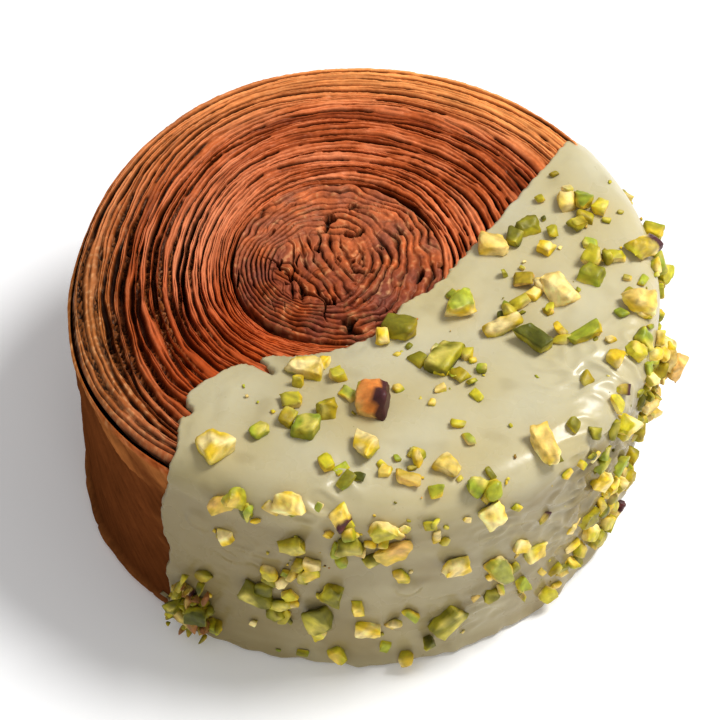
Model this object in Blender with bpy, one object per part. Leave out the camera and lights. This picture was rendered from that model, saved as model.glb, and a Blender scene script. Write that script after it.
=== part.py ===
"""A New York roll: laminated croissant dough wound up and baked as a flat-ended drum, half of it
dipped in pistachio icing, with chopped pistachios set in the icing.

The drum stands on the floor at z = 0, with the Z axis through the middle of its round outline.
Two solids make it up. "pastry" is the wound dough, with the edges of its layers as a spiral of
ridges on top. "pistachio_icing" is the coat on the dipped half, with the chopped nuts fused to it.
"""

import itertools
import math
import random

import bmesh
import bpy
from mathutils import Matrix, Vector, noise

MM = 0.001
QUARTER = math.pi / 2

# The baked roll.
ROLL_RADIUS = 55.5 * MM
ROLL_HEIGHT = 46.5 * MM
RIM_ROUND = 4.5 * MM
FOOT_ROUND = 2.5 * MM
WALL_TAPER = 0.9 * MM  # the foot is this much narrower than the rim, on average
WALL_LEAN = ((1, 1.0 * MM, -2.0), (2, 2.2 * MM, -1.1))  # how the foot stands out at some sides
DISH_DEPTH = 1.6 * MM  # the top sinks round the heart of the spiral
DENT = 0.5 * MM
OUTLINE_LOBES = ((2, 0.7 * MM, 1.3), (3, 0.6 * MM, 2.9), (4, 0.6 * MM, -0.6), (5, 0.2 * MM, 2.0))

# The spiral. Its rings share no centre: it starts to one side and ends in the middle of the roll.
HEART_RADIUS = 20 * MM  # inside it the layers are crumpled
HEART_ROWS = 10
HEART_CENTRE = Vector((-4.2 * MM, 5.3 * MM))
START_CENTRE = Vector((-12 * MM, -1 * MM))
LAYER_COUNT = 21  # ridges from the heart to the rim
LAYERS_PER_TURN = 4  # of the wound strip of dough
GROOVE_DEPTH = 1.5 * MM
TURN_GROOVE_DEPTH = 2.2 * MM  # between one turn of the strip and the next
CREST_UNEVEN = 0.5 * MM
CRUMPLE = 1.3 * MM

# The dipped half. Its edge crosses the top and sags round the heart.
DIP_AZIMUTH = math.radians(-45)  # the way from the middle of the roll into the icing
DIP_EDGE = (  # (distance along the edge, distance into the icing), in mm
    (-90, 6), (-60, 6), (-54, 5), (-48, 0.5), (-42, -2.5), (-32, -2.5), (-24, 0.5), (-18, 6), (-10, 9.5),
    (2, 10), (14, 9.5), (31, 7.5), (46, 5), (54, 3.5), (60, 3), (90, 3),
)
ICING_PROUD = 1.0 * MM  # above the crests and outside the wall of the bare pastry
ICING_RIM_ROUND = 6.5 * MM
TOP_RECESS = 2.7 * MM  # the icing fills the grooves down to here
SIDE_RECESS = 1.0 * MM
GAP = 0.3 * MM  # between the two solids

WALL_END = ROLL_RADIUS + ROLL_HEIGHT - ICING_RIM_ROUND * (2 - math.pi / 2)  # down the wall to the floor

# The chopped pistachios. Places on the icing are an azimuth in degrees and how far it is in mm along
# the icing from the middle of the top, over the rim and down the wall.
NUT_COUNT = 141
NUT_LENGTHS = (3.4 * MM, 7.4 * MM)  # of the smaller pieces
NUT_BULGES = 2  # corners of a piece besides the eight of a rough block
NUT_SINK = 0.22  # the share of a nut that is under the icing's surface
NUT_SINK_MOST = 1.2 * MM
CROWDING = 0.58  # how near two pieces may be, as a share of their sizes
NUT_SEED = 7
LARGE_NUTS = (  # (azimuth, distance, length, width, angle of the length to the way down)
    (-86, 31, 11, 9, 70), (-123, 49, 8.5, 7.5, -25), (-116, 24, 9, 5.5, -85), (-106, 39, 6.5, 5.5, 85),
    (-89, 42, 7.5, 6, 50), (-114, 56, 7, 4.5, 75), (-104, 55, 6.5, 5, -80), (-103, 65, 8.5, 3.5, -55),
    (-86, 59, 6.5, 5, 45), (-84, 65, 9, 4.5, -80), (-72, 72, 9, 4.5, 70), (-110, 82, 8.5, 5, 65),
    (-98, 86, 8, 6, 25), (-63, 78, 9, 5, 25), (-73, 89, 8.5, 5, -50), (-50, 52, 9.5, 5, -20),
    (-60, 14, 7.5, 6, 30), (-20, 20, 8.5, 6.5, 20), (-50, 25, 10, 5.5, -75), (19, 26, 8, 5.5, -25),
    (-6, 37, 8.5, 7, -50), (-24, 29, 9.5, 4, 40), (-26, 36, 9.5, 5, -20), (-19, 44, 8.5, 4, 45),
    (7, 53, 8, 5.5, 30), (-8, 52, 7.5, 6, 15),
)
NUT_CLUSTERS = (  # (azimuth, distance, spread, weight) for the smaller pieces
    (17, 39, 8, 1.6), (3, 45, 6, 2.4), (-10, 28, 6, 2.4), (-57, 30, 6, 2.6), (-79, 54, 7, 3.2),
    (-92, 62, 6, 2.2), (-65, 56, 5, 2.6), (-100, 72, 6, 2.6), (-13, 62, 8, 3.2), (-31, 61, 6, 2.2),
    (-31, 86, 8, 3.0), (-47, 95, 7, 3.0), (14, 64, 8, 2.0), (-122, 92, 5, 3.4),
)
EVEN_WEIGHT = 0.45
NUT_CLUMPS = ((-10, 66, 4, 1.3), (-123, 92, 4, 0.9))  # (azimuth, distance, pieces, mm each lies on the last)

PASTRY_COLUMNS = 72
SMOOTH_COLUMNS = 48
WALL_ROWS = 4
RIM_ROWS = 3


# ---- The roll's form -------------------------------------------------------------------------


def ramp(value, low, high):
    """0 at low, 1 at high, and smooth between."""
    share = min(max((value - low) / (high - low), 0.0), 1.0)
    return share * share * (3 - 2 * share)


def lobes(azimuth):
    """How far the roll's outline stands outside a true circle."""
    return sum(height * math.sin(count * azimuth + turn) for count, height, turn in OUTLINE_LOBES)


def around(radius, azimuth, height):
    """The point at a radius and height, on an outline that isn't quite round."""
    radius += lobes(azimuth) * radius / ROLL_RADIUS
    return Vector((radius * math.cos(azimuth), radius * math.sin(azimuth), height))


def ring_centre(ring):
    """The centre of the spiral's ring of that radius, on a parabola through three places."""
    to_heart = (HEART_CENTRE - START_CENTRE) / HEART_RADIUS
    to_rim = -HEART_CENTRE / (ROLL_RADIUS - HEART_RADIUS)
    bend = (to_rim - to_heart) / ROLL_RADIUS
    return START_CENTRE + to_heart * ring + bend * ring * (ring - HEART_RADIUS)


def on_ring(ring, azimuth):
    """The place in plan on the spiral's ring of that radius."""
    out = Vector((math.cos(azimuth), math.sin(azimuth)))
    return ring_centre(ring) + out * (ring + lobes(azimuth) * ring / ROLL_RADIUS)


def ring_through(place):
    """The radius of the spiral's ring that goes through a place in plan."""
    ring = place.length
    for _ in range(24):
        ring = (place - ring_centre(min(ring, ROLL_RADIUS))).length
    return ring


def dish(ring):
    """How far the top lies under the rim's level: it sinks round the heart, which is a low mound."""
    return DISH_DEPTH * (ramp(ring, 46 * MM, 25 * MM) - 0.7 * ramp(ring, HEART_RADIUS, 8 * MM))


def rim_drop(radius, outer, rounding):
    """How far a rounded rim has dropped at a radius, under the level that it starts from."""
    over = min(max(radius - (outer - rounding), 0.0), rounding)
    return rounding - math.sqrt(rounding * rounding - over * over)


def wall_lean(azimuth, height):
    """How far in the wall has come at a height, from under the rim."""
    out = sum(amount * math.sin(count * azimuth + turn) for count, amount, turn in WALL_LEAN)
    return (WALL_TAPER - out) * (1 - height / ROLL_HEIGHT)


def wall_point(grow, azimuth, height):
    return around(ROLL_RADIUS + grow - wall_lean(azimuth, height), azimuth, height)


def foot_rows(grow, floor):
    """The foot's rounding, ending flat on the floor."""

    def row(turn):
        height = floor + FOOT_ROUND * (1 - math.sin(turn))
        return lambda azimuth: wall_point(grow - FOOT_ROUND * (1 - math.cos(turn)), azimuth, height)

    return [row(QUARTER / 2), row(QUARTER)]


def ringed_body(name, columns, rows, top, bottom):
    """A closed body from a UV sphere: each of its rings goes where a row puts it, from top to bottom."""
    body = bmesh.new()
    bmesh.ops.create_uvsphere(body, u_segments=columns, v_segments=len(rows) + 1, radius=1)
    for vertex in body.verts:
        down = math.acos(max(-1.0, min(1.0, vertex.co.z))) / math.pi
        ring = round(down * (len(rows) + 1))
        column = round(math.atan2(vertex.co.y, vertex.co.x) / math.tau * columns)
        if ring == 0:
            vertex.co = top
        elif ring > len(rows):
            vertex.co = bottom
        else:
            vertex.co = rows[ring - 1](column * math.tau / columns)
    bmesh.ops.recalc_face_normals(body, faces=body.faces)
    if body.calc_volume(signed=True) < 0:
        bmesh.ops.reverse_faces(body, faces=body.faces)
    return new_object(name, body)


def new_object(name, body):
    """The object of a finished bmesh, which is freed."""
    mesh = bpy.data.meshes.new(name)
    body.to_mesh(mesh)
    body.free()
    made = bpy.data.objects.new(name, mesh)
    bpy.context.scene.collection.objects.link(made)
    return made


# ---- The bare pastry -------------------------------------------------------------------------


def layer_row(half_layers):
    """A crest or a groove of the spiral, counted in half layers out from the heart.

    It moves out by one layer in a turn. The jump back is under the icing, where the ridges are cut off.
    """
    groove = half_layers % 2 == 1
    between_turns = half_layers % (2 * LAYERS_PER_TURN) == 1
    pitch = (ROLL_RADIUS - 1.5 * MM - HEART_RADIUS) / (LAYER_COUNT + 1)

    def row(azimuth):
        turn = (azimuth - DIP_AZIMUTH) % math.tau / math.tau
        ring = HEART_RADIUS + pitch * (half_layers / 2 + turn)
        place = on_ring(ring, azimuth)
        height = ROLL_HEIGHT - dish(ring) - rim_drop(ring, ROLL_RADIUS, RIM_ROUND)
        wave = noise.noise(Vector((place.x, place.y, half_layers * 0.005)) * 90)
        if groove:
            depth = TURN_GROOVE_DEPTH if between_turns else GROOVE_DEPTH
            height -= depth * min(0.8 + 0.5 * wave, 1.0)
        else:
            height += CREST_UNEVEN * wave
        return place.to_3d() + Vector((0, 0, height))

    return row


def heart_row(number):
    """A ring of the crumpled heart, whose folds run round it and break off here and there."""
    ring = HEART_RADIUS * number / HEART_ROWS

    def row(azimuth):
        place = on_ring(ring, azimuth)
        height = ROLL_HEIGHT - dish(ring)
        lump = noise.noise(place.to_3d() * 150)
        fold = noise.noise(place.to_3d() * 110 + Vector((7, 3, number % 2)))
        height += CRUMPLE * (0.5 * lump + 0.9 * fold - 0.45 * (number % 2))
        return place.to_3d() + Vector((0, 0, height))

    return row


def wall_row(share):
    """A ring of the pastry's own wall, a little dented. The share is 1 at the rim and 0 at the foot."""
    height = FOOT_ROUND + (ROLL_HEIGHT - RIM_ROUND - FOOT_ROUND) * share

    def row(azimuth):
        point = wall_point(0, azimuth, height)
        dented = DENT * noise.noise(Vector((point.x, point.y, 0.4 * point.z)) * 60)
        return wall_point(dented, azimuth, height)

    return row


def baked_roll():
    """The whole roll as it comes from the oven, with its layers as ridges."""
    rows = [heart_row(number) for number in range(1, HEART_ROWS)]
    rows += [layer_row(half_layers) for half_layers in range(2 * LAYER_COUNT + 1)]
    rows += [wall_row(1 - step / WALL_ROWS) for step in range(WALL_ROWS + 1)]
    rows += foot_rows(0, 0)
    top = START_CENTRE.to_3d() + Vector((0, 0, ROLL_HEIGHT - dish(0)))
    return ringed_body("pastry", PASTRY_COLUMNS, rows, top, Vector())


# ---- The icing's surface and its edge --------------------------------------------------------


def smooth_point(along, azimuth, grow_side, grow_top, rounding):
    """A point of the roll's plain form grown by a distance: along is how far it is from the middle
    of the top, over the rim and down the wall."""
    outer = ROLL_RADIUS + grow_side
    flat = outer - rounding
    bend = min(max((along - flat) / rounding, 0.0), QUARTER)
    down = max(along - flat - rounding * QUARTER, 0.0)
    radius = min(along, flat) + rounding * math.sin(bend)
    place = around(radius, azimuth, 0)
    level = ROLL_HEIGHT + grow_top - dish(ring_through(place.to_2d()))
    height = level - rounding * (1 - math.cos(bend)) - down
    taper = wall_lean(azimuth, height) * ramp(bend, 0, QUARTER)
    return around(radius - taper, azimuth, height)


def smooth_roll(name, grow_side, grow_top, rounding, floor):
    """A plain roll with no ridges, larger or smaller than the baked one."""
    flat = ROLL_RADIUS + grow_side - rounding
    wall = ROLL_HEIGHT + grow_top - rounding - floor - FOOT_ROUND
    reaches = [flat * share for share in (0.18, 0.36, 0.54, 0.7, 0.86, 1.0)]
    reaches += [flat + rounding * QUARTER * step / RIM_ROWS for step in range(1, RIM_ROWS + 1)]
    reaches += [reaches[-1] + wall * step / WALL_ROWS for step in range(1, WALL_ROWS)]

    def row(along):
        return lambda azimuth: smooth_point(along, azimuth, grow_side, grow_top, rounding)

    def ankle(azimuth):
        return wall_point(grow_side, azimuth, floor + FOOT_ROUND)

    rows = [row(along) for along in reaches] + [ankle] + foot_rows(grow_side, floor)
    top = smooth_point(0, 0, grow_side, grow_top, rounding)
    return ringed_body(name, SMOOTH_COLUMNS, rows, top, Vector((0, 0, floor)))


def dip_depth(place):
    """How far a place in plan is inside the dipped half, less than 0 where the pastry is bare."""
    turned = Matrix.Rotation(-DIP_AZIMUTH, 2) @ place
    return turned.x - dip_edge(turned.y)


def dip_edge(along):
    """How far into the icing its edge lies, from a smooth curve through DIP_EDGE."""
    along = min(max(along / MM, DIP_EDGE[1][0]), DIP_EDGE[-2][0] - 0.001)
    before = max(i for i in range(1, len(DIP_EDGE) - 2) if DIP_EDGE[i][0] <= along)
    (x0, y0), (x1, y1), (x2, y2), (x3, y3) = DIP_EDGE[before - 1 : before + 3]
    start, end = (y2 - y0) / (x2 - x0), (y3 - y1) / (x3 - x1)
    span = x2 - x1
    t = (along - x1) / span
    curve = (1 + 2 * t) * (1 - t) ** 2 * y1 + t * t * (3 - 2 * t) * y2
    curve += span * (t * (1 - t) ** 2 * start - t * t * (1 - t) * end)
    return curve * MM


def dip_block(name, clearance):
    """The space that was dipped, as an upright block whose side follows the icing's edge."""
    reach = 75 * MM
    step = 3 * MM
    count = round(2 * reach / step)
    edge = [(dip_edge(reach - i * step) - clearance, reach - i * step) for i in range(count + 1)]
    outline = edge + [(reach, -reach), (reach, reach)]
    curve = bpy.data.curves.new(name, "CURVE")
    curve.dimensions = "2D"
    curve.fill_mode = "BOTH"
    curve.extrude = reach
    spline = curve.splines.new("POLY")
    spline.points.add(len(outline) - 1)
    for point, (x, y) in zip(spline.points, outline):
        point.co = (x, y, 0, 1)
    spline.use_cyclic_u = True
    made = bpy.data.objects.new(name, curve)
    made.rotation_euler.z = DIP_AZIMUTH
    bpy.context.scene.collection.objects.link(made)
    return as_mesh(made)


def as_mesh(curved):
    """The mesh object of a curve object, which is removed."""
    bpy.context.view_layer.update()
    graph = bpy.context.evaluated_depsgraph_get()
    mesh = bpy.data.meshes.new_from_object(curved.evaluated_get(graph))
    name, world = curved.name, curved.matrix_world.copy()
    bpy.data.objects.remove(curved)
    body = bmesh.new()
    body.from_mesh(mesh)
    bmesh.ops.remove_doubles(body, verts=body.verts, dist=0.01 * MM)
    bmesh.ops.recalc_face_normals(body, faces=body.faces)
    made = new_object(name, body)
    made.matrix_world = world
    return made


# ---- The chopped pistachios ------------------------------------------------------------------


def icing_point(along, azimuth):
    return smooth_point(along, azimuth, ICING_PROUD, ICING_PROUD, ICING_RIM_ROUND)


def icing_frame(along, azimuth):
    """A point of the icing's surface, with the way out of it and the way down along it."""
    step = 0.2 * MM
    here = icing_point(along, azimuth)
    down = icing_point(along + step, azimuth) - here
    across = icing_point(along, azimuth + step / max(here.xy.length, step)) - here
    out = down.cross(across).normalized()
    return here, out, down.normalized()


def nut_corners(length, width, draw):
    """Corners of a chopped piece: a rough block, no two of whose sides are parallel, with a bulge or two."""
    thickness = width * draw.uniform(0.6, 0.85)
    corners = []
    for x, y, z in itertools.product((-1, 1), repeat=3):
        corners.append(Vector([side * draw.uniform(0.2, 0.5) for side in (x, y, z)]))
    for _ in range(NUT_BULGES):
        turn = draw.uniform(0, math.tau)
        corners.append(Vector((draw.uniform(-0.4, 0.4), 0.5 * math.cos(turn), 0.5 * math.sin(turn))))
    return [Vector((x * length, y * width, z * thickness)) for x, y, z in corners]


def placed_nut(along, azimuth, length, width, lie, draw, lift=0.0):
    """A piece's corners, set into the icing at that place. A few small pieces stand on end."""
    here, out, down = icing_frame(along, azimuth)
    stands = draw.random() < 0.15 and length < NUT_LENGTHS[1]
    tilt = draw.uniform(45, 80) if stands else draw.uniform(-16, 16)
    spin = Matrix.Rotation(math.radians(lie), 3, "Z")
    lean = Matrix.Rotation(math.radians(tilt), 3, "Y")
    to_world = Matrix((down, out.cross(down), out)).transposed()
    turned = [to_world @ (spin @ (lean @ corner)) for corner in nut_corners(length, width, draw)]
    reach = [corner.dot(out) for corner in turned]
    sunk = min(NUT_SINK * (max(reach) - min(reach)), NUT_SINK_MOST)
    shift = here + out * (lift - min(reach) - sunk)
    return [corner + shift for corner in turned]


def nut_weight(along, azimuth):
    """How likely a place is to catch a piece, from the even scatter and the clusters."""
    weight = EVEN_WEIGHT
    for degrees, place, spread, more in NUT_CLUSTERS:
        turn = (azimuth - math.radians(degrees) + math.pi) % math.tau - math.pi
        across = turn * min(along, ROLL_RADIUS)
        away = math.hypot(across, along - place * MM) / (spread * MM)
        weight += more * math.exp(-away * away)
    return weight


def large_nuts(draw):
    """The larger pieces, each at its own place."""
    for azimuth, along, length, width, lie in LARGE_NUTS:
        yield placed_nut(along * MM, math.radians(azimuth), length * MM, width * MM, lie, draw)


def clumped(draw):
    """Pieces that lie on one another, each of them further out than the last."""
    for degrees, along, count, step in NUT_CLUMPS:
        for number in range(count):
            azimuth = math.radians(degrees + draw.uniform(-3, 3))
            place = (along + draw.uniform(-2, 2)) * MM
            length, width = draw.uniform(5.5, 7.5) * MM, draw.uniform(4, 5.5) * MM
            yield placed_nut(place, azimuth, length, width, draw.uniform(0, 180), draw, number * step * MM)


def small_nut(number, draw):
    """One try at a smaller piece, which is None where that place catches none."""
    shortest, longest = NUT_LENGTHS
    length = shortest + (longest - shortest) * (1 - number / NUT_COUNT) ** 1.2
    along = WALL_END * math.sqrt(draw.random())
    azimuth = DIP_AZIMUTH + draw.uniform(-1.75, 1.75)
    heaviest = EVEN_WEIGHT + max(cluster[3] for cluster in NUT_CLUSTERS)
    share = nut_weight(along, azimuth) / heaviest * min(1, ROLL_RADIUS / along)
    if draw.random() > share:
        return None
    width = length * draw.uniform(0.5, 0.9)
    return placed_nut(along, azimuth, length, width, draw.uniform(0, 180), draw)


def fits(corners, placed):
    """Whether a piece is clear of the floor and the bare pastry, and not inside another piece."""
    middle = sum(corners, Vector()) / len(corners)
    size = max((corner - middle).length for corner in corners)
    clear = min(corner.z for corner in corners) > 0.4 * MM
    clear = clear and min(dip_depth(corner.xy) for corner in corners) > 0.5 * MM
    for other in placed:
        away = (sum(other, Vector()) / len(other) - middle).length
        other_size = max((corner - other[0]).length for corner in other) / 2
        clear = clear and away > CROWDING * (size + other_size)
    return clear


def chopped_nuts():
    """The pieces as lists of corners, the largest first."""
    draw = random.Random(NUT_SEED)
    placed = list(large_nuts(draw)) + list(clumped(draw))
    for number in range(len(placed), NUT_COUNT):
        for _ in range(300):
            corners = small_nut(number, draw)
            if corners and fits(corners, placed):
                placed.append(corners)
                break
    return placed


def nut_object(name, corners):
    body = bmesh.new()
    for corner in corners:
        body.verts.new(corner)
    hull = bmesh.ops.convex_hull(body, input=body.verts)
    inside = {piece for piece in hull["geom_interior"] if isinstance(piece, bmesh.types.BMVert)}
    bmesh.ops.delete(body, geom=list(inside), context="VERTS")
    bmesh.ops.recalc_face_normals(body, faces=body.faces)
    return new_object(name, body)


# ---- Putting it together ---------------------------------------------------------------------


def combine(target, operation, other, solver="MANIFOLD"):
    """Applies a Boolean of target with an object or a whole collection, which is then removed."""
    modifier = target.modifiers.new(operation.title(), "BOOLEAN")
    modifier.operation = operation
    modifier.solver = solver
    if isinstance(other, bpy.types.Collection):
        modifier.operand_type = "COLLECTION"
        modifier.collection = other
        used = list(other.objects)
    else:
        modifier.object = other
        used = [other]
    with bpy.context.temp_override(object=target, active_object=target, selected_objects=[target]):
        bpy.ops.object.modifier_apply(modifier=modifier.name)
    for piece in used:
        bpy.data.objects.remove(piece)


def drop_scraps(piece):
    """Leaves only the largest body of a mesh, so that no loose nut and no sealed bubble remains."""
    body = bmesh.new()
    body.from_mesh(piece.data)
    left = set(body.verts)
    bodies = []
    while left:
        found = [left.pop()]
        for vertex in found:
            near = {edge.other_vert(vertex) for edge in vertex.link_edges} & left
            left -= near
            found += near
        bodies.append(found)
    bodies.sort(key=len)
    for scrap in bodies[:-1]:
        bmesh.ops.delete(body, geom=scrap, context="VERTS")
    body.to_mesh(piece.data)
    body.free()


def finish_material(piece, colour, roughness, smooth_angle):
    """Gives a piece its Principled material, with no metal in it, and shades it smooth."""
    material = bpy.data.materials.new(piece.name)
    material.use_nodes = True
    shader = material.node_tree.nodes["Principled BSDF"]
    shader.inputs["Base Color"].default_value = (*colour, 1)
    shader.inputs["Roughness"].default_value = roughness
    shader.inputs["Metallic"].default_value = 0
    material.diffuse_color = (*colour, 1)
    piece.data.materials.clear()
    piece.data.materials.append(material)
    piece.data.shade_smooth()
    piece.data.set_sharp_from_angle(angle=math.radians(smooth_angle))


def make_pastry():
    """The baked roll, cut back where it was dipped to a smooth roll that the icing lies on."""
    pastry = baked_roll()
    combine(pastry, "DIFFERENCE", dip_block("dipped_space", GAP))
    under = smooth_roll("under_icing", -SIDE_RECESS, -TOP_RECESS, RIM_ROUND, SIDE_RECESS)
    combine(pastry, "UNION", under)
    drop_scraps(pastry)
    finish_material(pastry, (0.36, 0.135, 0.045), 0.5, 35)
    return pastry


def make_icing():
    """The coat on the dipped half, with its nuts."""
    icing = smooth_roll("pistachio_icing", ICING_PROUD, ICING_PROUD, ICING_RIM_ROUND, 0)
    combine(icing, "INTERSECT", dip_block("dipped_space", 0))
    inside = smooth_roll(
        "inside", GAP - SIDE_RECESS, GAP - TOP_RECESS, RIM_ROUND, SIDE_RECESS - GAP
    )
    combine(icing, "DIFFERENCE", inside)
    nuts = bpy.data.collections.new("chopped_pistachios")
    bpy.context.scene.collection.children.link(nuts)
    for number, corners in enumerate(chopped_nuts()):
        nut = nut_object(f"nut_{number}", corners)
        bpy.context.scene.collection.objects.unlink(nut)
        nuts.objects.link(nut)
    combine(icing, "UNION", nuts)
    bpy.data.collections.remove(nuts)
    drop_scraps(icing)
    finish_material(icing, (0.42, 0.4, 0.22), 0.4, 35)
    return icing


def main():
    for old in list(bpy.data.objects):
        bpy.data.objects.remove(old)
    roll = bpy.data.collections.new("new_york_roll")
    bpy.context.scene.collection.children.link(roll)
    for piece in (make_pastry(), make_icing()):
        bpy.context.scene.collection.objects.unlink(piece)
        roll.objects.link(piece)


main()
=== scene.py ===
import itertools
import math
import random

import bmesh
import bpy
import numpy as np
from mathutils import Matrix, Vector


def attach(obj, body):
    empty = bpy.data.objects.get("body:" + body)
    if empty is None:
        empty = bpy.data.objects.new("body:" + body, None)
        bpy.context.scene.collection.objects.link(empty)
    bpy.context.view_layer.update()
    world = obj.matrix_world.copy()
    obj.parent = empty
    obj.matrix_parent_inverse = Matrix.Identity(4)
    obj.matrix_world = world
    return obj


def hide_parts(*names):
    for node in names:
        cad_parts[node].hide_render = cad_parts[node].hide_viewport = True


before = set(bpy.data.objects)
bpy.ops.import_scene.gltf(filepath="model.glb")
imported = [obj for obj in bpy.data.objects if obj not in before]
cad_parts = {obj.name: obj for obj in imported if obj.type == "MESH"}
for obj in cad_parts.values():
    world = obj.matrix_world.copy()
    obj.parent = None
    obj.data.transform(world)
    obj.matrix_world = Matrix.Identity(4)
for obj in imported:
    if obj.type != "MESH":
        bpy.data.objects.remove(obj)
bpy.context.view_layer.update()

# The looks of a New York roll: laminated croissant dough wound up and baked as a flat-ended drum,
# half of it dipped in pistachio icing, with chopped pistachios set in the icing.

MM = 0.001
QUARTER = math.pi / 2

# ---- Sizes and rules that the solids are made by ----

ROLL_RADIUS = 55.5 * MM
ROLL_HEIGHT = 46.5 * MM
RIM_ROUND = 4.5 * MM
FOOT_ROUND = 2.5 * MM
WALL_TAPER = 0.9 * MM
WALL_LEAN = ((1, 1.0 * MM, -2.0), (2, 2.2 * MM, -1.1))
DISH_DEPTH = 1.6 * MM
OUTLINE_LOBES = ((2, 0.7 * MM, 1.3), (3, 0.6 * MM, 2.9), (4, 0.6 * MM, -0.6), (5, 0.2 * MM, 2.0))
HEART_RADIUS = 20 * MM
HEART_CENTRE = np.array((-4.2, 5.3)) * MM
START_CENTRE = np.array((-12.0, -1.0)) * MM
LAYER_COUNT = 21
DIP_AZIMUTH = math.radians(-45)
DIP_EDGE = np.array((
    (-90, 6), (-60, 6), (-54, 5), (-48, 0.5), (-42, -2.5), (-32, -2.5), (-24, 0.5), (-18, 6), (-10, 9.5),
    (2, 10), (14, 9.5), (31, 7.5), (46, 5), (54, 3.5), (60, 3), (90, 3),
)) * MM
ICING_PROUD = 1.0 * MM
ICING_RIM_ROUND = 6.5 * MM
ICING_FLAT = ROLL_RADIUS + ICING_PROUD - ICING_RIM_ROUND
WALL_END = ROLL_RADIUS + ROLL_HEIGHT - ICING_RIM_ROUND * (2 - math.pi / 2)
NUT_COUNT = 141
NUT_LENGTHS = (3.4 * MM, 7.4 * MM)
NUT_BULGES = 2  # corners of a piece besides the eight of a rough block
NUT_SINK = 0.22
NUT_SINK_MOST = 1.2 * MM
CROWDING = 0.58  # how near two pieces may be, as a share of their sizes
NUT_SEED = 7
LARGE_NUTS = (  # (azimuth, distance, length, width, angle of the length to the way down)
    (-86, 31, 11, 9, 70), (-123, 49, 8.5, 7.5, -25), (-116, 24, 9, 5.5, -85), (-106, 39, 6.5, 5.5, 85),
    (-89, 42, 7.5, 6, 50), (-114, 56, 7, 4.5, 75), (-104, 55, 6.5, 5, -80), (-103, 65, 8.5, 3.5, -55),
    (-86, 59, 6.5, 5, 45), (-84, 65, 9, 4.5, -80), (-72, 72, 9, 4.5, 70), (-110, 82, 8.5, 5, 65),
    (-98, 86, 8, 6, 25), (-63, 78, 9, 5, 25), (-73, 89, 8.5, 5, -50), (-50, 52, 9.5, 5, -20),
    (-60, 14, 7.5, 6, 30), (-20, 20, 8.5, 6.5, 20), (-50, 25, 10, 5.5, -75), (19, 26, 8, 5.5, -25),
    (-6, 37, 8.5, 7, -50), (-24, 29, 9.5, 4, 40), (-26, 36, 9.5, 5, -20), (-19, 44, 8.5, 4, 45),
    (7, 53, 8, 5.5, 30), (-8, 52, 7.5, 6, 15),
)
NUT_CLUSTERS = (  # (azimuth, distance, spread, weight) for the smaller pieces
    (17, 39, 8, 1.6), (3, 45, 6, 2.4), (-10, 28, 6, 2.4), (-57, 30, 6, 2.6), (-79, 54, 7, 3.2),
    (-92, 62, 6, 2.2), (-65, 56, 5, 2.6), (-100, 72, 6, 2.6), (-13, 62, 8, 3.2), (-31, 61, 6, 2.2),
    (-31, 86, 8, 3.0), (-47, 95, 7, 3.0), (14, 64, 8, 2.0), (-122, 92, 5, 3.4),
)
EVEN_WEIGHT = 0.45
NUT_CLUMPS = ((-10, 66, 4, 1.3), (-123, 92, 4, 0.9))  # (azimuth, distance, pieces, mm each lies on the last)


def ramp(value, low, high):
    share = np.clip((value - low) / (high - low), 0.0, 1.0)
    return share * share * (3 - 2 * share)


def lobes(azimuth):
    return sum(height * np.sin(count * azimuth + turn) for count, height, turn in OUTLINE_LOBES)


def around(radius, azimuth, height):
    radius = radius + lobes(azimuth) * radius / ROLL_RADIUS
    x, y, z = np.broadcast_arrays(radius * np.cos(azimuth), radius * np.sin(azimuth), height)
    return np.stack((x, y, z), -1)


def ring_centre(ring):
    ring = np.asarray(ring)[..., None]
    to_heart = (HEART_CENTRE - START_CENTRE) / HEART_RADIUS
    to_rim = -HEART_CENTRE / (ROLL_RADIUS - HEART_RADIUS)
    bend = (to_rim - to_heart) / ROLL_RADIUS
    return START_CENTRE + to_heart * ring + bend * ring * (ring - HEART_RADIUS)


def on_ring(ring, azimuth):
    """A place in plan on one of the spiral's rings, whose centres wander from the start to the rim's."""
    ring, azimuth = np.broadcast_arrays(ring, azimuth)
    out = np.stack((np.cos(azimuth), np.sin(azimuth)), -1)
    return ring_centre(ring) + out * (ring + lobes(azimuth) * ring / ROLL_RADIUS)[..., None]


def ring_through(place):
    """The ring that a place in plan lies on."""
    ring = np.linalg.norm(place, axis=-1)
    for _ in range(24):
        ring = np.linalg.norm(place - ring_centre(np.minimum(ring, ROLL_RADIUS)), axis=-1)
    return ring


def dish(ring):
    return DISH_DEPTH * (ramp(ring, 46 * MM, 25 * MM) - 0.7 * ramp(ring, HEART_RADIUS, 8 * MM))


def rim_drop(radius):
    """How far the rounded rim has fallen at a radius."""
    over = np.clip(radius - (ROLL_RADIUS - RIM_ROUND), 0.0, RIM_ROUND)
    return RIM_ROUND - np.sqrt(RIM_ROUND * RIM_ROUND - over * over)


def wall_lean(azimuth, height):
    """How far in the wall has come at a height, from under the rim."""
    out = sum(amount * np.sin(count * azimuth + turn) for count, amount, turn in WALL_LEAN)
    return (WALL_TAPER - out) * (1 - height / ROLL_HEIGHT)


def wall_point(grow, azimuth, height):
    return around(ROLL_RADIUS + grow - wall_lean(azimuth, height), azimuth, height)


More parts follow.
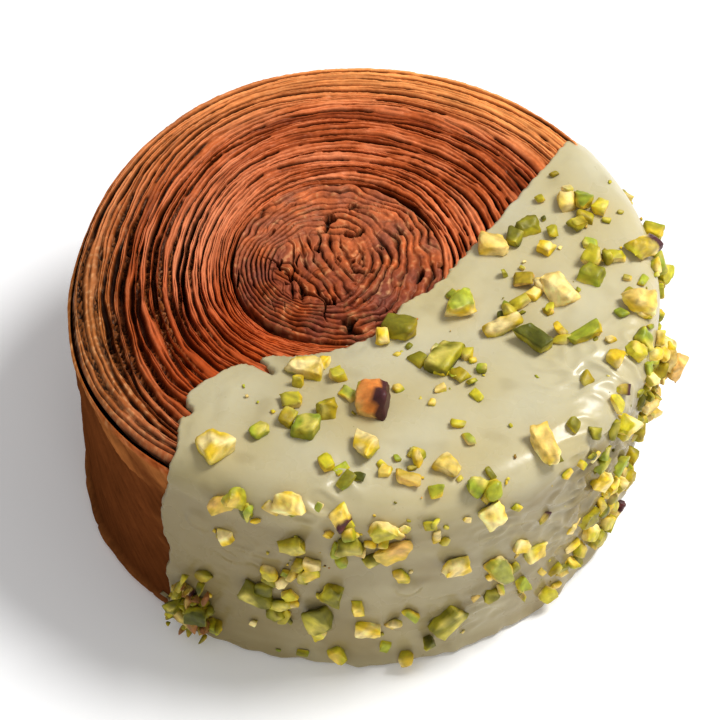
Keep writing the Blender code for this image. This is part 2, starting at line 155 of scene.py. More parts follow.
def icing_point(along, azimuth):
    """A point on the plain icing, so far from the middle of the top, over the rim and down the wall."""
    bend = np.clip((along - ICING_FLAT) / ICING_RIM_ROUND, 0.0, QUARTER)
    down = np.maximum(along - ICING_FLAT - ICING_RIM_ROUND * QUARTER, 0.0)
    radius = np.minimum(along, ICING_FLAT) + ICING_RIM_ROUND * np.sin(bend)
    place = around(radius, azimuth, 0)[..., :2]
    level = ROLL_HEIGHT + ICING_PROUD - dish(ring_through(place))
    height = level - ICING_RIM_ROUND * (1 - np.cos(bend)) - down
    taper = wall_lean(azimuth, height) * ramp(bend, 0, QUARTER)
    return around(radius - taper, azimuth, height)


def dip_edge(along):
    """The smooth curve of the icing's edge through the points of DIP_EDGE."""
    xs, ys = DIP_EDGE[:, 0], DIP_EDGE[:, 1]
    along = np.clip(along, xs[1], xs[-2] - 1e-6)
    i = np.clip(np.searchsorted(xs, along, side="right") - 1, 1, len(xs) - 3)
    start = (ys[i + 1] - ys[i - 1]) / (xs[i + 1] - xs[i - 1])
    end = (ys[i + 2] - ys[i]) / (xs[i + 2] - xs[i])
    span = xs[i + 1] - xs[i]
    t = (along - xs[i]) / span
    curve = (1 + 2 * t) * (1 - t) ** 2 * ys[i] + t * t * (3 - 2 * t) * ys[i + 1]
    return curve + span * (t * (1 - t) ** 2 * start - t * t * (1 - t) * end)


def dip_frame(place):
    """Where a place in plan is along the icing's edge, and how far it is inside the dipped half."""
    place = np.asarray(place)
    c, s = math.cos(DIP_AZIMUTH), math.sin(DIP_AZIMUTH)
    along = -s * place[..., 0] + c * place[..., 1]
    return along, c * place[..., 0] + s * place[..., 1] - dip_edge(along)


# ---- The chopped pistachios' places, as in the solids ----


def icing_frame(along, azimuth):
    """A point on the icing, the way out of it there and the way down it."""
    step = 0.2 * MM
    here = Vector(icing_point(along, azimuth))
    down = Vector(icing_point(along + step, azimuth)) - here
    turned = azimuth + step / max(here.xy.length, step)
    across = Vector(icing_point(along, turned)) - here
    out = down.cross(across).normalized()
    return here, out, down.normalized()


def nut_corners(length, width, draw):
    """Corners of a chopped piece: a rough block, no two of whose sides are parallel, with a bulge or two."""
    thickness = width * draw.uniform(0.6, 0.85)
    corners = []
    for x, y, z in itertools.product((-1, 1), repeat=3):
        corners.append(Vector([side * draw.uniform(0.2, 0.5) for side in (x, y, z)]))
    for _ in range(NUT_BULGES):
        turn = draw.uniform(0, math.tau)
        corners.append(Vector((draw.uniform(-0.4, 0.4), 0.5 * math.cos(turn), 0.5 * math.sin(turn))))
    return [Vector((x * length, y * width, z * thickness)) for x, y, z in corners]


def placed_nut(along, azimuth, length, width, lie, draw, lift=0.0):
    """A piece's corners in place, and the directions of its length, width and thickness."""
    here, out, down = icing_frame(along, azimuth)
    stands = draw.random() < 0.15 and length < NUT_LENGTHS[1]
    tilt = draw.uniform(45, 80) if stands else draw.uniform(-16, 16)
    spin = Matrix.Rotation(math.radians(lie), 3, "Z")
    lean = Matrix.Rotation(math.radians(tilt), 3, "Y")
    to_world = Matrix((down, out.cross(down), out)).transposed()
    turned = [to_world @ (spin @ (lean @ corner)) for corner in nut_corners(length, width, draw)]
    reach = [corner.dot(out) for corner in turned]
    sunk = min(NUT_SINK * (max(reach) - min(reach)), NUT_SINK_MOST)
    shift = here + out * (lift - min(reach) - sunk)
    return [corner + shift for corner in turned], to_world @ spin @ lean, (length, width)


def nut_weight(along, azimuth):
    """How closely the smaller pieces lie at a place."""
    weight = EVEN_WEIGHT
    for degrees, place, spread, more in NUT_CLUSTERS:
        turn = (azimuth - math.radians(degrees) + math.pi) % math.tau - math.pi
        across = turn * min(along, ROLL_RADIUS)
        away = math.hypot(across, along - place * MM) / (spread * MM)
        weight += more * math.exp(-away * away)
    return weight


def clumped(draw):
    """Pieces that lie on one another, each of them further out than the last."""
    for degrees, along, count, step in NUT_CLUMPS:
        for number in range(count):
            azimuth = math.radians(degrees + draw.uniform(-3, 3))
            place = (along + draw.uniform(-2, 2)) * MM
            length, width = draw.uniform(5.5, 7.5) * MM, draw.uniform(4, 5.5) * MM
            yield placed_nut(place, azimuth, length, width, draw.uniform(0, 180), draw, number * step * MM)


def small_nut(number, draw):
    """A smaller piece at a drawn place, or none; later pieces are smaller."""
    shortest, longest = NUT_LENGTHS
    length = shortest + (longest - shortest) * (1 - number / NUT_COUNT) ** 1.2
    along = WALL_END * math.sqrt(draw.random())
    azimuth = DIP_AZIMUTH + draw.uniform(-1.75, 1.75)
    heaviest = EVEN_WEIGHT + max(cluster[3] for cluster in NUT_CLUSTERS)
    share = nut_weight(along, azimuth) / heaviest * min(1, ROLL_RADIUS / along)
    if draw.random() > share:
        return None
    width = length * draw.uniform(0.5, 0.9)
    return placed_nut(along, azimuth, length, width, draw.uniform(0, 180), draw)


def fits(nut, placed):
    """Whether a piece lies on the icing, clear of the floor, its edge and the pieces before it."""
    corners = nut[0]
    middle = sum(corners, Vector()) / len(corners)
    size = max((corner - middle).length for corner in corners)
    clear = min(corner.z for corner in corners) > 0.4 * MM
    clear = clear and min(dip_frame(corner.xy)[1] for corner in corners) > 0.5 * MM
    for other, _, _ in placed:
        away = (sum(other, Vector()) / len(other) - middle).length
        other_size = max((corner - other[0]).length for corner in other) / 2
        clear = clear and away > CROWDING * (size + other_size)
    return clear


def chopped_nuts():
    draw = random.Random(NUT_SEED)
    placed = [
        placed_nut(along * MM, math.radians(azimuth), length * MM, width * MM, lie, draw)
        for azimuth, along, length, width, lie in LARGE_NUTS
    ] + list(clumped(draw))
    for number in range(len(placed), NUT_COUNT):
        for _ in range(300):
            nut = small_nut(number, draw)
            if nut and fits(nut, placed):
                placed.append(nut)
                break
    return placed


# ---- Noise, meshes and materials ----

TABLE_DRAW = np.random.default_rng(5)
SHUFFLED = TABLE_DRAW.permutation(256)
SLOPES = TABLE_DRAW.normal(size=(256, 3))
SLOPES /= np.linalg.norm(SLOPES, axis=1)[:, None]


def noise(points, size, seed=0):
    """Smooth noise, mostly within -1 to 1, whose lumps are about that size."""
    scaled = np.asarray(points, float) / size + seed * 19.17
    cell = np.floor(scaled).astype(int)
    part = scaled - cell
    fade = part**3 * (part * (part * 6 - 15) + 10)
    total = np.zeros(part.shape[:-1])
    for corner in itertools.product((0, 1), repeat=3):
        key = SHUFFLED[(cell[..., 0] + corner[0]) & 255]
        key = SHUFFLED[(key + cell[..., 1] + corner[1]) & 255]
        key = SHUFFLED[(key + cell[..., 2] + corner[2]) & 255]
        slope = (SLOPES[key] * (part - corner)).sum(-1)
        total += slope * np.where(corner, fade, 1 - fade).prod(-1)
    return total * 1.7


def noises(points, *layers):
    """Layers of noise added up, each an (amount, size in mm, seed)."""
    return sum(amount * noise(points, size * MM, seed) for amount, size, seed in layers)


def stretched(*parts):
    """Points for noise from separate coordinates."""
    return np.stack(np.broadcast_arrays(*parts), -1)


def azimuth_of(points):
    return np.arctan2(points[..., 1], points[..., 0])


def hump(value):
    """1 at 0, falling to nothing on both sides of it."""
    return np.exp(-(value**2))


def bump_at(azimuth, degrees, spread):
    return hump(((azimuth - math.radians(degrees) + math.pi) % math.tau - math.pi) / math.radians(spread))


def linked(name, data):
    made = bpy.data.objects.new(name, data)
    bpy.context.scene.collection.objects.link(made)
    return made


def grid_quads(rows, beside):
    """What the four corners of each cell of a grid hold, from its rows and the same rows one column on."""
    return np.stack((rows[:-1], rows[1:], beside[1:], beside[:-1]), -1)


def srgb(*channels):
    return np.array([(c / 255 / 12.92) if c < 11 else ((c / 255 + 0.055) / 1.055) ** 2.4 for c in channels])


def mix(first, second, share):
    return first + (second - first) * np.clip(share, 0, 1)[..., None]


def make_mesh(name, points, faces, colours, flow=None):
    """A smooth mesh with its colours, and the coordinates that its grain follows."""
    mesh = bpy.data.meshes.new(name)
    mesh.from_pydata(points.reshape(-1, 3).tolist(), [], faces)
    colours = np.clip(colours.reshape(-1, 3), 0, 1)
    rgba = np.concatenate((colours, np.ones((len(colours), 1))), 1)
    mesh.attributes.new("tint", "FLOAT_COLOR", "POINT").data.foreach_set("color", rgba.ravel())
    if flow is not None:
        mesh.attributes.new("flow", "FLOAT_VECTOR", "POINT").data.foreach_set("vector", flow.ravel())
    mesh.shade_smooth()
    return linked(name, mesh)


def ringed(name, rows, first, last, colours, flow):
    """A closed body from rows of points round the roll, with a point closing each end."""
    count, columns = rows.shape[:2]
    index = np.arange(count * columns).reshape(count, columns)
    beside = np.roll(index, -1, 1)
    quads = grid_quads(index, beside).reshape(-1, 4).tolist()
    top, bottom = count * columns, count * columns + 1
    quads += [(top, a, b) for a, b in zip(index[0].tolist(), beside[0].tolist())]
    quads += [(bottom, b, a) for a, b in zip(index[-1].tolist(), beside[-1].tolist())]
    points = np.concatenate((rows.reshape(-1, 3), [first, last]))
    colours, flow = (np.concatenate((some.reshape(-1, 3), some[[0, -1], 0])) for some in (colours, flow))
    return make_mesh(name, points, quads, colours, flow)


class Nodes:
    """A material's node tree, with short calls to add to it."""

    def __init__(self, name):
        self.material = bpy.data.materials.new(name)
        self.material.use_nodes = True
        self.tree = self.material.node_tree
        self.shader = self.tree.nodes["Principled BSDF"]

    def add(self, kind, inputs=(), **settings):
        node = self.tree.nodes.new(kind)
        for key, value in settings.items():
            setattr(node, key, value)
        for key, value in dict(inputs).items():
            self.feed(node.inputs[key], value)
        return node

    def feed(self, socket, value):
        if isinstance(value, bpy.types.NodeSocket):
            self.tree.links.new(value, socket)
        else:
            socket.default_value = value

    def noise(self, scale, detail=3, where=None):
        where = where or self.add("ShaderNodeTexCoord").outputs["Object"]
        inputs = {"Scale": scale, "Detail": detail, "Vector": where}
        return self.add("ShaderNodeTexNoise", inputs).outputs["Fac"]

    def attribute(self, name, output="Color"):
        return self.add("ShaderNodeAttribute", attribute_name=name).outputs[output]

    def spread(self, value, low, high):
        """A value between 0 and 1 made to run from low to high."""
        inputs = {"Value": value, "To Min": low, "To Max": high}
        return self.add("ShaderNodeMapRange", inputs).outputs["Result"]

    def times(self, first, second):
        return self.add("ShaderNodeMath", {0: first, 1: second}, operation="MULTIPLY").outputs[0]

    def scaled(self, colour, factor):
        """A colour made lighter or darker by a value."""
        return self.add("ShaderNodeVectorMath", {0: colour, "Scale": factor}, operation="SCALE").outputs[0]

    def bump(self, height, distance, strength, **under):
        inputs = {"Height": height, "Distance": distance, "Strength": strength, **under}
        return self.add("ShaderNodeBump", inputs).outputs["Normal"]

    def set(self, **sockets):
        for key, value in sockets.items():
            self.feed(self.shader.inputs[key.replace("_", " ")], value)


# ---- The baked dough ----

BARE = np.radians(np.linspace(-16, 262, 740))
UNDER_ICING = np.radians(np.linspace(262, 344, 14)[1:-1])
AZIMUTHS = np.concatenate((BARE, UNDER_ICING))
LAYER_BEND = 0.25  # the outer layers are this much wider than the middle ones
GROOVE_DEPTH = 2.0 * MM
WALL_RADIUS = 55 * MM  # turns an azimuth into a length round the wall
BODY_DEPTH = 9 * MM  # how far down the separate parts of the top reach
HIDDEN_SLOPE = 3.5 * MM  # how far the hidden sides of the layers lean in under the outermost skin
SUNK = (1.5 * MM, 4.5 * MM)  # the dough sinks away under the icing over this far inside its edge
DOUGH_SINK = 1.4 * MM
WALL_SINK = 1.2 * MM
LAYER_BODIES = (  # (name, first layer, the layer it ends before)
    ("pastry_layers_inner", 0, 9),
    ("pastry_layers_middle", 9, 16),
    ("pastry_layers_outer", 16, LAYER_COUNT + 1),
)
HEART_FOLD = 1.35 * MM  # from fold to fold round the heart
CORE_FOLD = 2.0 * MM  # and in the middle of it
HEART_GRID = (146, 620)
WALL_ROWS = 60
LEDGES = (  # (azimuth, height, slope, size): thin edges of torn outer sheets on the wall
    (205, 40.5, -16, 0.6), (222, 36.0, -22, 0.5), (190, 31.0, 9, 0.35), (215, 14.0, 12, 0.35),
    (120, 42.0, 6, 0.4), (95, 38.0, 9, 0.4), (60, 30.0, -10, 0.35), (150, 12.0, 8, 0.35),
)

# painted shade: the near-black colour of the gaps, creases and pits
PAINTED_SHADE_BROWN = srgb(26, 6, 1)
DEEP_BROWN = srgb(116, 40, 12)
BROWN = srgb(202, 98, 46)
ROSE = srgb(236, 146, 100)
GOLD = srgb(255, 170, 95)
OLIVE = srgb(158, 98, 42)
WEB_BROWN = srgb(138, 76, 28)
# painted glow: a saturated orange for light seen inside the layers at the lower left
PAINTED_GLOW = srgb(190, 72, 12)
PLUM = srgb(126, 62, 46)
# tan for crumb flecks, and for painted highlights on the heart's crest lines
TAN_FLECK_AND_HIGHLIGHT = srgb(250, 190, 130)
WALL_DARK = srgb(108, 58, 27)
WALL_LIGHT = srgb(212, 132, 70)


def turn_of(azimuth):
    """The share of a turn of the spiral, whose jump back is under the icing."""
    return (azimuth - DIP_AZIMUTH) % math.tau / math.tau


def ring_of(layers):
    """The radius of the spiral's ring so many layers outside the heart."""
    share = layers / (LAYER_COUNT + 1)
    share = share + LAYER_BEND * (share * share - share)
    return HEART_RADIUS + (ROLL_RADIUS - 1.5 * MM - HEART_RADIUS) * share


def squeezed(ring, azimuth):
    """Near the lower left end of the icing's edge the rings crowd out against the rim."""
    near = hump((azimuth - math.radians(236)) / math.radians(26))
    swell = ramp(ring, 24 * MM, 44 * MM) * ramp(ring, 55 * MM, 46 * MM)
    return ring + 3.0 * MM * near * swell


def pastry_tint(place, crest, tone, web=0.0):
    """The crust's colour: crest is 1 on a layer's edge and 0 in a gap, where the colour goes to painted
    shade, near black; tone is light or dark, and web is 1 on the crumb that bridges the wide gaps. The lower
    left gets painted shade and a painted orange glow."""
    azimuth = azimuth_of(place) % math.tau
    radius = np.hypot(place[..., 0], place[..., 1])
    colour = mix(DEEP_BROWN, BROWN, 0.62 + 0.6 * tone)
    colour = mix(colour, ROSE, 0.65 * np.clip(tone - 0.1, 0, 1))
    # painted shade: the layers at the lower left, away from the key light, are made darker
    colour = colour * (1 - 0.32 * bump_at(azimuth, 212, 50) * ramp(radius, 22 * MM, 30 * MM))[..., None]
    rim = ramp(radius, 42 * MM, 52 * MM)
    gold = rim * (bump_at(azimuth, 66, 46) + 0.3 * bump_at(azimuth, 130, 30))
    colour = mix(colour, GOLD, gold * (0.75 + 0.5 * tone))
    colour = mix(colour, OLIVE, 0.7 * rim * bump_at(azimuth, 190, 30))
    band = bump_at(azimuth, 166, 30) * hump((radius - 33 * MM) / (4.5 * MM))
    colour = mix(colour, ROSE, 0.85 * band)
    flecks = noise(stretched(place[..., 0], place[..., 1], 0.0), 0.9 * MM, 52)
    colour = mix(colour, TAN_FLECK_AND_HIGHLIGHT, 0.35 * rim * ramp(flecks, 0.0, 0.7) * (0.3 + bump_at(azimuth, 195, 35)))
    # painted glow: the lower-left layers, and the shade in their gaps, are pushed towards a lit orange
    painted_glow = bump_at(azimuth, 214, 36) * ramp(radius, 12 * MM, 20 * MM) * ramp(radius, 52 * MM, 38 * MM)
    colour = mix(colour, PAINTED_GLOW, 0.6 * painted_glow)
    colour = mix(colour, WEB_BROWN, web)
    # painted shade in the gaps, lifted towards orange by the painted glow at the lower left
    gap_shade = PAINTED_SHADE_BROWN + (PAINTED_GLOW * 0.3 - PAINTED_SHADE_BROWN) * (0.5 * painted_glow)[..., None]
    return mix(gap_shade, colour, crest)


def layer_fields():
    """Where each gap lies and how wide and deep it is, and how each layer's edge rises and splits."""
    azimuth = AZIMUTHS[None, :]
    number = np.arange(LAYER_COUNT + 2)[:, None]
    arc = azimuth * 36 * MM

    def varied(size, seed, alike=0.0):
        """Noise along every layer, which neighbours share the more they are alike."""
        size = size * MM
        step = 3.7 * size * (1 - alike) + 0.3 * size * alike
        return noise(stretched(arc, number * step, 0.0), size, seed)

    left = bump_at(azimuth, 192, 38)
    outer = ramp(number, LAYER_COUNT - 5, LAYER_COUNT)
    opened = 0.62 + 0.7 * varied(26, 1) + 0.55 * varied(9, 2) + 0.25 * varied(3.5, 57)
    opened = opened + 0.3 * (number % 4 == 1) + 0.35 * left * ramp(number, 4, 8)
    opened *= 1 - 0.75 * bump_at(azimuth, 168, 26) * ((number >= 2) & (number <= 5))
    opened *= 1 - 0.7 * outer * bump_at(azimuth, 66, 46)
    outermost = (number >= LAYER_COUNT - 1) & (number <= LAYER_COUNT)
    opened *= 1 - 0.6 * outermost * bump_at(azimuth, 200, 34)
    joined = ramp(varied(8, 86) + 0.5 * varied(2.5, 87), -0.1, -0.45)
    opened *= 1 - (0.75 - 0.4 * left) * joined
    opened = np.clip(opened, 0.1, 1.8)
    opened[LAYER_COUNT - 1] += 1.2 * bump_at(AZIMUTHS, 66, 15)
    opened[0] = 0.45 + 2.2 * bump_at(AZIMUTHS, 222, 34) + 1.4 * bump_at(AZIMUTHS, 48, 28)
    opened[2] += 1.2 * bump_at(AZIMUTHS, 122, 16)
    depth = GROOVE_DEPTH * opened * (1 + 0.25 * varied(2, 3))
    half = 0.06 + 0.07 * opened**1.3 + 0.03 * varied(3, 4) + 0.24 * left * ramp(number, 5, 9) * opened
    half = np.clip(half, 0.055, 0.36)
    half[0] = 0.2 + 0.14 * opened[0]
    middle = number - 0.5 + 0.7 * varied(30, 5, 0.9) + 0.24 * varied(14, 6)
    middle = middle + (0.09 + 0.12 * left) * varied(5, 7) + 0.12 * left * varied(8, 53, 0.8)
    middle += 0.05 * varied(2.2, 58)
    middle[-1] = number[-1] - 0.5
    rise = 0.4 * varied(20, 8) + 0.2 * varied(5, 9) + 0.1 * varied(2, 59)
    rise += 0.3 * noise(stretched(number, 0, 0), 0.9, 10)
    split = np.clip(0.5 + 0.15 * varied(14, 11), 0.28, 0.72)
    cleft = np.clip(0.35 + 0.9 * varied(12, 12) + 0.6 * varied(3.5, 13), 0, 1)
    cleft *= 1 - 0.6 * outer * bump_at(azimuth, 66, 46)
    tone = 0.75 * varied(26, 14) + 0.5 * varied(6, 15)
    tone += 0.6 * noise(stretched(number, 0, 0), 0.8, 16)
    web = left * ramp(number, 4, 8) * ramp(varied(12, 74), -0.5, 0.2)
    return middle, half, depth, opened, rise, split, cleft, tone, web


def make_layers():
    """The edges of the wound layers: rounded crests with thin gaps between them, in three bodies."""
    azimuth = AZIMUTHS[None, :]
    turn = turn_of(azimuth)
    middle, half, depth, opened, rise, split, cleft, tone, webs = layer_fields()
    rows, colours, flows, starts = [], [], [], []

    def add(layers, drop, unshaded, row_tone, beads=0.0, web=None):
        ring = squeezed(ring_of(layers + turn), azimuth)
        place = on_ring(ring, azimuth)
        _, dipped = dip_frame(place)
        level = ROLL_HEIGHT - dish(ring) - rim_drop(ring)
        flow = stretched(azimuth * ring * 0.14, ring, layers * 3 * MM)
        fine = stretched(azimuth * ring, ring * 1.2, 0.0)
        if beads:
            bead = noise(fine, 1.1 * MM, 17)
            drop = drop + beads * (0.13 * bead + 0.1 * noise(fine, 0.55 * MM, 18))
            # painted highlight: the tone is raised on the beads' peaks as glints
            row_tone = row_tone + 0.7 * np.clip(bead - 0.05, 0, 1)
        bridged = 0.0
        if web is not None:
            strands = ramp(np.abs(noise(fine, 1.3 * MM, 75)), 0.34, 0.08)
            bridged = web * strands
            drop = drop * (1 - 0.62 * bridged)
            unshaded = unshaded + (0.75 - unshaded) * bridged
        height = level + drop * MM - DOUGH_SINK * ramp(dipped, *SUNK)
        rows.append(np.concatenate((place, height[..., None]), -1)[0])
        streak = 0.4 * noise(flow, 0.9 * MM, 19)
        unshaded = np.broadcast_to(unshaded, height.shape)
        colours.append(pastry_tint(place, unshaded, row_tone + streak, bridged)[0])
        flows.append(flow[0])

    for layer in range(LAYER_COUNT + 1):
        starts.append(len(rows))
        one, two = slice(layer, layer + 1), slice(layer + 1, layer + 2)
        here, last = tone[one], tone[two]
        crest, cut = rise[one], cleft[one]
        low, high = middle[one] + half[one], middle[two] - half[two]
        deep, deeper = depth[one] / MM, depth[two] / MM
        shut, shutter = ramp(opened[one], 0.5, 0.16), ramp(opened[two], 0.5, 0.16)
        width = high - low
        parting = low + width * split[one]
        # Each row's third value is how far its colour is kept from the painted shade of the gaps: gap bottoms
        # are painted near black where the gaps are open, the shoulders and the clefts between split crests
        # are painted darker, and the rows on the crests get a lighter tone as painted highlight.
        add(middle[one], -deep, 0.7 * shut, here, web=webs[one])
        add(low - 0.35 * half[one], -0.85 * deep, 0.75 * shut, here, web=webs[one])
        add(low, crest - 0.62 * np.clip(deep, 0, 1.6), 0.22 + 0.6 * shut, here)
        add(low + 0.12 * width, crest - 0.22 * np.clip(deep, 0, 1.4), 0.8, here, 0.8)
        add((low + parting) / 2 + 0.03 * width, crest + 0.08, 1.0, here + 0.2, 1.0)
        add(parting - 0.1 * width, crest - 0.14 * cut, 1 - 0.3 * cut, here, 0.6)
        add(parting, crest - 0.95 * cut, 1 - 0.95 * cut, here)
        add(parting + 0.1 * width, crest - 0.2 * cut, 1 - 0.3 * cut, here, 0.6)
        add((high + parting) / 2 - 0.03 * width, crest + 0.04, 1.0, here + 0.2, 1.0)
        add(high - 0.12 * width, crest - 0.22 * np.clip(deeper, 0, 1.4), 0.8, here, 0.8)
        add(high, crest - 0.62 * np.clip(deeper, 0, 1.6), 0.22 + 0.6 * shutter, here)
        add(high + 0.35 * half[two], -0.85 * deeper, 0.75 * shutter, last, web=webs[two])
    starts.append(len(rows))
    # painted shade: the last row, deep in the outermost gap, is painted near black
    add(middle[-1:], -depth[-1:] / MM, 0.1, tone[-1:])

    made = []
    for name, first, end in LAYER_BODIES:
        part = slice(starts[first], starts[end] + 1)
        points, tint, flow = (
            np.stack([some[part][0], *some[part], some[part][-1]]) for some in (rows, colours, flows)
        )
        points[[0, -1], :, 2] = ROLL_HEIGHT - BODY_DEPTH
        if end > LAYER_COUNT:
            points[-1, :, :2] *= 1 - HIDDEN_SLOPE / ROLL_RADIUS
        index = np.arange(points.shape[0] * points.shape[1]).reshape(points.shape[:2])
        index = np.concatenate((index, index[:1]))
        quads = grid_quads(index, np.roll(index, -1, 1)).reshape(-1, 4).tolist()
        made.append(make_mesh(name, points, quads, tint, flow))
    return made


def crease(phase, power):
    """A narrow valley across each whole step of the phase, narrower for a higher power."""
    return np.abs(2 * (phase % 1) - 1) ** power


def make_heart():
    """The crumpled heart of the spiral: wavy folds with creases between them, and pits, with painted shade in
    the creases and pits and painted highlights along the fold lines.
    """
    row_count, column_count = HEART_GRID
    columns = np.radians(np.linspace(0, 360, column_count, endpoint=False))[None, :]
    share = np.linspace(0.008, 1.0, row_count)[:, None]
    edge = ring_of(-0.5 + turn_of(columns)) + 0.9 * MM
    ring = share * edge
    place = on_ring(ring, columns)
    x, y = place[..., 0], place[..., 1]
    flat = stretched(x, y, 0.0)
    from_x, from_y = x - START_CENTRE[0], y - START_CENTRE[1]
    outside = ramp(ring, 7 * MM, 10 * MM)

    def joined(round_part, core_part):
        return round_part * outside + core_part * (1 - outside)

    long = stretched(columns * 12 * MM * 0.45, ring, 0.0)
    wander = noises(flat, (1.7, 9, 20), (0.8, 3.6, 21), (0.16, 1.3, 56)) * MM
    round_phase = (ring + wander) / HEART_FOLD - turn_of(columns)
    across = from_x * 0.88 + from_y * 0.47
    core_phase = (across + noises(flat, (2.0, 6, 22), (0.6, 2.4, 23)) * MM) / CORE_FOLD
    strength = np.clip(0.8 + 0.9 * noise(long, 3 * MM, 24), 0.25, 1.4)
    valley = joined(crease(round_phase, 3.2), crease(core_phase, 4))
    minor = joined(crease(2 * round_phase + 0.3, 3), crease(2 * core_phase + 0.4, 3))
    highlit_lines = joined(*(hump((crease(phase, 1) - 0.6) / 0.13) for phase in (round_phase, core_phase)))
    highlit_lines *= ramp(noise(flat, 2.4 * MM, 32), -0.1, 0.5)
    fine = stretched(x * 0.8 + y * 0.5, y * 0.8 - x * 0.5, 0.0)
    cracks = ramp(np.abs(noise(fine, 3.4 * MM, 25)), 0.09, 0.0) * ramp(noise(flat, 4 * MM, 76), 0.0, 0.4)
    grains = noise(fine, 1.0 * MM, 26)
    pits = ramp(noise(long, 1.7 * MM, 28), 0.5, 0.57) * ramp(noise(flat, 12 * MM, 29), -0.35, 0.1)
    pits = np.maximum(pits, ramp(noise(fine, 1.9 * MM, 77), 0.54, 0.6) * ramp(ring, 11 * MM, 8 * MM))
    down_crease = from_x * 0.65 - from_y * 0.76
    bend = noises(flat, (2.4, 7, 30), (0.9, 3, 54)) * MM
    cut = np.abs(from_x * 0.76 + from_y * 0.65 + bend)
    cut = ramp(cut, 0.32 * MM, 0.04 * MM) * ramp(np.abs(down_crease), 11 * MM, 8 * MM)
    height = 0.5 - 1.3 * valley * strength - 0.15 * minor - 0.3 * cracks + 0.16 * highlit_lines + 0.1 * grains
    height = height + noises(flat, (0.3, 6, 27), (0.16, 2, 78)) - 2.6 * pits - 1.5 * cut
    _, dipped = dip_frame(place)
    height = height - DOUGH_SINK / MM * ramp(dipped, *SUNK)
    crescent = 1.6 * bump_at(columns, 222, 36) + 0.5 * bump_at(columns, 48, 28)
    rim = ramp(share, 0.945 - 0.035 * crescent, 0.995 - 0.02 * crescent)
    falls = 1.2 + 3.4 * crescent
    height = height * (1 - rim) - falls * rim + 0.5 * ramp(ring, 20 * MM, 9 * MM)
    level = ROLL_HEIGHT - dish(ring) - 0.3 * MM
    rows = np.concatenate((place, (level + height * MM)[..., None]), -1)
    # painted shade: the colour goes towards near black in the creases, cracks and pits, along the cut and
    # down the heart's falling rim
    unshaded = (1 - 0.94 * np.clip(1.15 * valley * strength, 0, 1)) * (1 - 0.2 * minor) * (1 - 0.5 * cracks)
    unshaded = unshaded * (1 - 0.97 * pits) * (1 - 0.85 * cut) * (1 - 0.94 * rim)
    tone = 0.7 * noise(flat, 3.5 * MM, 31) + 0.7 * grains
    # painted light: lighter and rosier towards the back of the heart, darker and more plum towards the front
    lit = ramp(y, -4 * MM, 16 * MM)
    tint = mix(DEEP_BROWN, BROWN, 0.46 + 0.34 * lit + 0.6 * tone)
    tint = mix(tint, PLUM, 0.5 - 0.15 * lit + 0.8 * noise(flat, 4 * MM, 33))
    tint = mix(tint, ROSE, 0.16 * lit)
    # painted highlight along the thin crest lines of the folds; the grains add tan flecks
    tint = mix(tint, TAN_FLECK_AND_HIGHLIGHT, 0.45 * highlit_lines * (0.6 + 0.6 * tone) + 0.25 * ramp(grains, 0.35, 0.8))
    tint = mix(PAINTED_SHADE_BROWN, tint, unshaded)
    base = rows[-1:].copy()
    base[..., 2] = ROLL_HEIGHT - BODY_DEPTH
    rows = np.concatenate((rows, base))
    tint = np.concatenate((tint, tint[-1:]))
    first = np.append(START_CENTRE, rows[0, :, 2].mean())
    last = np.append(START_CENTRE, ROLL_HEIGHT - BODY_DEPTH)
    return ringed("pastry_heart", rows, first, last, tint, rows)


